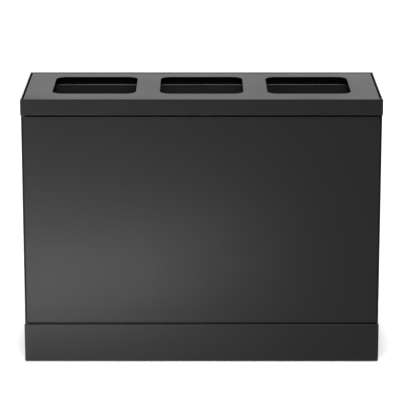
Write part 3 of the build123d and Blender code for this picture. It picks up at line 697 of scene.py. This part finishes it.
def makeThread(name, center, start, end):
    # Threaded bar: one turn of thread repeated upwards, closed with a chamfered tip
    t = studLook
    pitch = t["pitch"]
    root = t["radius"] - t["root"]
    foot = Vector((center[0], center[1], start))
    bar = newPiece(name, bpy.ops.mesh.primitive_circle_add, vertices=t["sides"], radius=root, location=foot)
    wide = t["radius"] / root
    pushTo((0, 0, pitch * t["flank"]), (wide, wide, 1), foot)
    pushTo((0, 0, pitch * t["crest"]))
    pushTo((0, 0, pitch * t["flank"]), (1 / wide, 1 / wide, 1), foot)
    turns = int((end - start) / pitch) - 1
    applyModifier(bar, "ARRAY", count=turns, use_relative_offset=False, use_constant_offset=True,
                  constant_offset_displace=(0, 0, pitch), use_merge_vertices=True, merge_threshold=mergeGap)
    bpy.ops.object.mode_set(mode="EDIT")
    top = start + turns * pitch
    pick("edges", lambda edge: edge.is_boundary and edge.verts[0].co.z > top - nearBy)
    pushTo((0, 0, end - top), (t["tip"], t["tip"], 1), foot)
    bpy.ops.mesh.edge_face_add()
    pick("edges", lambda edge: edge.is_boundary)
    bpy.ops.mesh.edge_face_add()
    faceOut()
    return bar


def makeHex(name, center, axis, across, height, chamfer):
    # Hexagon with turned corners: a six-sided bar cut by a chamfered round one
    axis = Vector(axis)
    center = Vector(center)
    corner = across / 2 / math.cos(math.pi / 6)
    body = turned(name, center, axis, 6, [(0, corner), (height, corner)])
    faceOut()
    rise = chamfer * nutLook["chamferRise"]
    past = corner + nutLook["past"]
    narrow = corner - 2 * chamfer
    stages = [(-rise, narrow), (rise, past), (height - rise, past), (height + rise, narrow)]
    cutter = turned("cutter", center, axis, nutLook["sides"], stages)
    faceOut()
    applyModifier(body, "BOOLEAN", operation="INTERSECT", object=cutter, solver="EXACT")
    bpy.data.objects.remove(cutter)
    return body


def makeNut(name, center, axis, across, height, bore):
    nut = makeHex(name, center, axis, across, height, nutLook["chamfer"])
    stages = [(-nutLook["through"], bore / 2), (height + nutLook["through"], bore / 2)]
    drill = turned("drill", center, axis, nutLook["boreSides"], stages)
    faceOut()
    applyModifier(nut, "BOOLEAN", operation="DIFFERENCE", object=drill, solver="EXACT")
    bpy.data.objects.remove(drill)
    return nut


def makeFootStud(name, low, high):
    # Threaded stud with a hexagon to turn it by, standing on its pad
    f = studLook
    center = middleOf((low, high))
    seat = (center.x, center.y, low[2])
    collar = makeHex("collar", seat, (0, 0, 1), f["collar"], f["collarHeight"], f["collarChamfer"])
    shoulder = low[2] + f["collarHeight"]
    bar = makeThread(name, center, shoulder - f["sunk"], high[2])
    return joinAll([bar, collar], name)


corners = ["front_left", "front_right", "rear_left", "rear_right"]
nutBoxes = solidsOf("foot_nuts")
firstPad = makeFootPad("detailFootPad", *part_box("foot_pad_front_left"))
firstStud = makeFootStud("detailFootStud", *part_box("foot_stud_front_left"))
nutHeight = nutBoxes[0][1].z - nutBoxes[0][0].z
nutMiddle = middleOf(nutBoxes[0])
nutPlace = (nutMiddle.x, nutMiddle.y, nutBoxes[0][0].z)
firstNut = makeNut("footNut", nutPlace, (0, 0, 1), nutLook["across"], nutHeight, nutLook["bore"])
home = middleOf(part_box("foot_pad_front_left"))
for corner in corners:
    shift = middleOf(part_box("foot_pad_" + corner)) - home
    label = corner.title().replace("_", "")
    padCopy = copyTo(firstPad, "detailFootPad" + label, shift)
    studCopy = copyTo(firstStud, "detailFootStud" + label, shift)
    handOver(padCopy, "foot_" + corner, "foot_plastic", ["foot_pad_" + corner])
    handOver(studCopy, "foot_" + corner, "zinc_steel", ["foot_stud_" + corner])
bpy.data.objects.remove(firstPad)
bpy.data.objects.remove(firstStud)
nutCopies = [copyTo(firstNut, "nutCopy", middleOf(box) - nutMiddle) for box in nutBoxes[1:]]
footNuts = joinAll([firstNut] + nutCopies, "detailFootNuts")
handOver(footNuts, "root", "zinc_steel", ["foot_nuts"])
print("feet made")

# Nuts and studs that hold the side panels

fixingLook = {"across": 8 * mm, "nut": 4 * mm, "bore": 5.2 * mm, "stud": 2.5 * mm, "tip": 0.5 * mm, "sides": 16,
              "sheet": 1.5 * mm}


def makeFixings():
    k = fixingLook
    pieces = []
    for low, high in solidsOf("fixing_nuts"):
        middle = middleOf((low, high))
        inward = -1 if middle.x > 0 else 1
        wall = high.x if middle.x > 0 else low.x
        length = high.x - low.x
        axis = (inward, 0, 0)
        stages = [(0, k["stud"]), (length - k["tip"], k["stud"]), (length, k["stud"] - k["tip"])]
        stud = turned("stud", (wall, middle.y, middle.z), axis, k["sides"], stages)
        faceOut()
        face = wall + inward * k["sheet"]
        nut = makeNut("nut", (face, middle.y, middle.z), axis, k["across"], k["nut"], k["bore"])
        pieces += [stud, nut]
    return joinAll(pieces, "detailFixingNuts")


handOver(makeFixings(), "root", "zinc_steel", ["fixing_nuts"])
print("fixings made")

# Hinge rivets

rivetLook = {"sides": 20, "shank": 1.6 * mm, "head": 1.4 * mm, "domeSteps": 6, "pole": 0.3 * mm}


def makeRivets(name, nodeName, headward):
    # Domed head on the flange side, shank through leaf and flange
    boxes = solidsOf(nodeName)
    low, high = boxes[0]
    middle = middleOf((low, high))
    radius = (high.x - low.x) / 2
    length = high.y - low.y
    foot = low.y if headward > 0 else high.y
    k = rivetLook
    seat = length - k["head"]
    stages = [(0, k["shank"]), (seat, k["shank"]), (seat, radius)]
    for step in range(1, k["domeSteps"]):
        turn = step / k["domeSteps"] * math.pi / 2
        stages.append((seat + k["head"] * math.sin(turn), radius * math.cos(turn)))
    stages.append((length, k["pole"]))
    rivet = turned(name, (middle.x, foot, middle.z), (0, headward, 0), k["sides"], stages)
    faceOut()
    copies = [copyTo(rivet, "rivetCopy", middleOf(box) - middle) for box in boxes[1:]]
    return joinAll([rivet] + copies, name)


handOver(makeRivets("detailRivetsFixed", "hinge_rivets_fixed", 1), "root", "hinge_steel", ["hinge_rivets_fixed"])
handOver(makeRivets("detailRivetsLid", "hinge_rivets_lid", -1), "lid", "hinge_steel", ["hinge_rivets_lid"])
print("rivets made")

# Rubber buffers under the lid

bufferLook = {"sides": 32, "flange": 1.2 * mm, "foot": 0.3 * mm, "step": 0.4 * mm, "waist": 0.8 * mm,
              "dome": 1.6 * mm, "domeSteps": 6, "domeCurve": 0.6, "pole": 0.3}


def makeBuffers():
    # Buffer with a flange, a waist and a domed crown
    boxes = solidsOf("lid_rest_pads")
    low, high = boxes[0]
    middle = middleOf((low, high))
    radius = (high.x - low.x) / 2
    height = high.z - low.z
    k = bufferLook
    neck = radius - k["waist"]
    stages = [(0, radius - k["foot"]), (k["foot"], radius), (k["flange"], radius),
              (k["flange"] + k["step"], neck), (height - k["dome"], neck)]
    for step in range(1, k["domeSteps"]):
        turn = step / k["domeSteps"] * math.pi / 2
        stages.append((height - k["dome"] * (1 - math.sin(turn)), neck * math.cos(turn) ** k["domeCurve"]))
    stages.append((height, neck * k["pole"]))
    buffer = turned("buffer", (middle.x, middle.y, low.z), (0, 0, 1), k["sides"], stages)
    faceOut()
    copies = [copyTo(buffer, "bufferCopy", middleOf(box) - middle) for box in boxes[1:]]
    return joinAll([buffer] + copies, "detailLidBuffers")


handOver(makeBuffers(), "root", "rubber", ["lid_rest_pads"])
print("buffers made")

# Bolt knob

knobLook = {"sides": 32, "flute": 0.5 * mm, "fluteEdge": 0.25 * mm, "round": 2 * mm, "roundSteps": 5,
            "collar": 3 * mm, "collarInset": 1 * mm, "collarStep": 0.6 * mm}


def makeKnob():
    # Turned knob with a plain collar, a fluted grip and a rounded end
    k = knobLook
    low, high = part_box("bolt_knob")
    middle = middleOf((low, high))
    radius = (high[0] - low[0]) / 2
    length = high[1] - low[1]
    neck = radius - k["collarInset"]
    stages = [(0, neck), (k["collar"], neck), (k["collar"] + k["collarStep"], radius),
              (length - k["round"], radius)]
    for step in range(1, k["roundSteps"]):
        turn = step / k["roundSteps"] * math.pi / 2
        stages.append((length - k["round"] * (1 - math.sin(turn)), radius - k["round"] * (1 - math.cos(turn))))
    stages.append((length, radius - k["round"]))
    knob = turned("detailBoltKnob", (middle.x, low[1], middle.z), (0, 1, 0), k["sides"], stages)
    faceOut()
    grip = low[1] + k["collar"] + k["round"]
    step = 2 * math.pi / k["sides"]

    def onGrip(face):
        spot = face.calc_center_median() - middle
        turn = math.floor(math.atan2(spot.z, spot.x) / step + 0.25)
        return abs(face.normal.y) < 0.1 and turn % 2 == 0 and spot.y + middle.y > grip

    pick("faces", onGrip)
    bpy.ops.mesh.inset(thickness=k["fluteEdge"], depth=-k["flute"], use_individual=True)
    faceOut()
    return knob


handOver(makeKnob(), "bolt", "hard_plastic", ["bolt_knob"])
print("knob made")

# Magnet catches

catchLook = {"back": 2 * mm, "flange": 10 * mm, "edge": 0.8 * mm, "recess": 3 * mm, "recessSlope": 0.4 * mm,
             "depth": 0.6 * mm, "plateCorner": 1.5 * mm, "plateEdge": 0.3 * mm, "pole": 1.6 * mm,
             "poleInset": 2.2 * mm, "poleShort": 2.6, "poleSunk": 1 * mm, "poleEdge": 0.2 * mm, "proud": 0.2 * mm}
screwLook = {"sides": 20, "place": 0.3, "inset": 5 * mm, "radius": 3 * mm, "sunk": 1 * mm, "rim": 0.5 * mm,
             "head": 1.2 * mm, "dome": 0.9 * mm, "socket": 1.1 * mm, "socketTop": 2 * mm}


def makeScrew(place):
    # Low head with a hexagon socket, facing inwards from the right-hand wall
    k = screwLook
    stages = [(-k["sunk"], k["radius"]), (k["rim"], k["radius"]), (k["head"], k["radius"] - k["dome"])]
    screw = turned("screw", place, (-1, 0, 0), k["sides"], stages)
    faceOut()
    stages = [(k["rim"], k["socket"]), (k["socketTop"], k["socket"])]
    socket = turned("socket", place, (-1, 0, 0), 6, stages)
    faceOut()
    applyModifier(screw, "BOOLEAN", operation="DIFFERENCE", object=socket, solver="EXACT")
    bpy.data.objects.remove(socket)
    return screw


def makeCatches():
    # Moulded housing on a mounting plate, two steel poles and two screws
    k = catchLook
    housings, steel = [], []
    for low, high in solidsOf("magnet_catches"):
        wall = high.x - k["back"]
        front = low.y
        deep = high.y - front - k["flange"]
        center = Vector(((low.x + wall) / 2, front + deep / 2, (low.z + high.z) / 2))
        size = Vector((wall - low.x, deep, high.z - low.z))
        box = newPiece("housing", bpy.ops.mesh.primitive_cube_add, size=1, location=center, scale=size)
        pick("faces", lambda face: face.normal.y < -0.9)
        bpy.ops.mesh.inset(thickness=k["recess"])
        bpy.ops.mesh.inset(thickness=k["recessSlope"], depth=-k["depth"])
        roundEdges(box, k["edge"])
        plateSize = Vector((k["back"], high.y - front, high.z - low.z))
        plateCenter = Vector((high.x - k["back"] / 2, (front + high.y) / 2, center.z))
        plate = newPiece("plate", bpy.ops.mesh.primitive_cube_add, size=1, location=plateCenter, scale=plateSize)
        pick("edges", lambda edge: abs(edge.verts[0].co.x - edge.verts[1].co.x) > mm)
        bpy.ops.mesh.bevel(offset=k["plateCorner"], segments=3)
        roundEdges(plate, k["plateEdge"])
        housings += [box, plate]
        for side in (-1, 1):
            spot = center + Vector((side * (size.x / 2 - k["poleInset"] - k["pole"] / 2), 0, 0))
            spot.y = front + k["depth"] / 2 + k["proud"]
            poleHeight = size.z - k["poleShort"] * k["recess"]
            poleSize = Vector((k["pole"], k["depth"] + k["poleSunk"], poleHeight))
            pole = newPiece("pole", bpy.ops.mesh.primitive_cube_add, size=1, location=spot, scale=poleSize)
            roundEdges(pole, k["poleEdge"])
            level = center.z + side * size.z * screwLook["place"]
            screw = makeScrew((wall, high.y - screwLook["inset"], level))
            steel += [pole, screw]
    return joinAll(housings, "detailMagnetCatches"), joinAll(steel, "detailCatchSteel")


catchHousings, catchSteel = makeCatches()
handOver(catchHousings, "root", "hard_plastic", ["magnet_catches"])
handOver(catchSteel, "root", "zinc_steel")
print("magnet catches made")
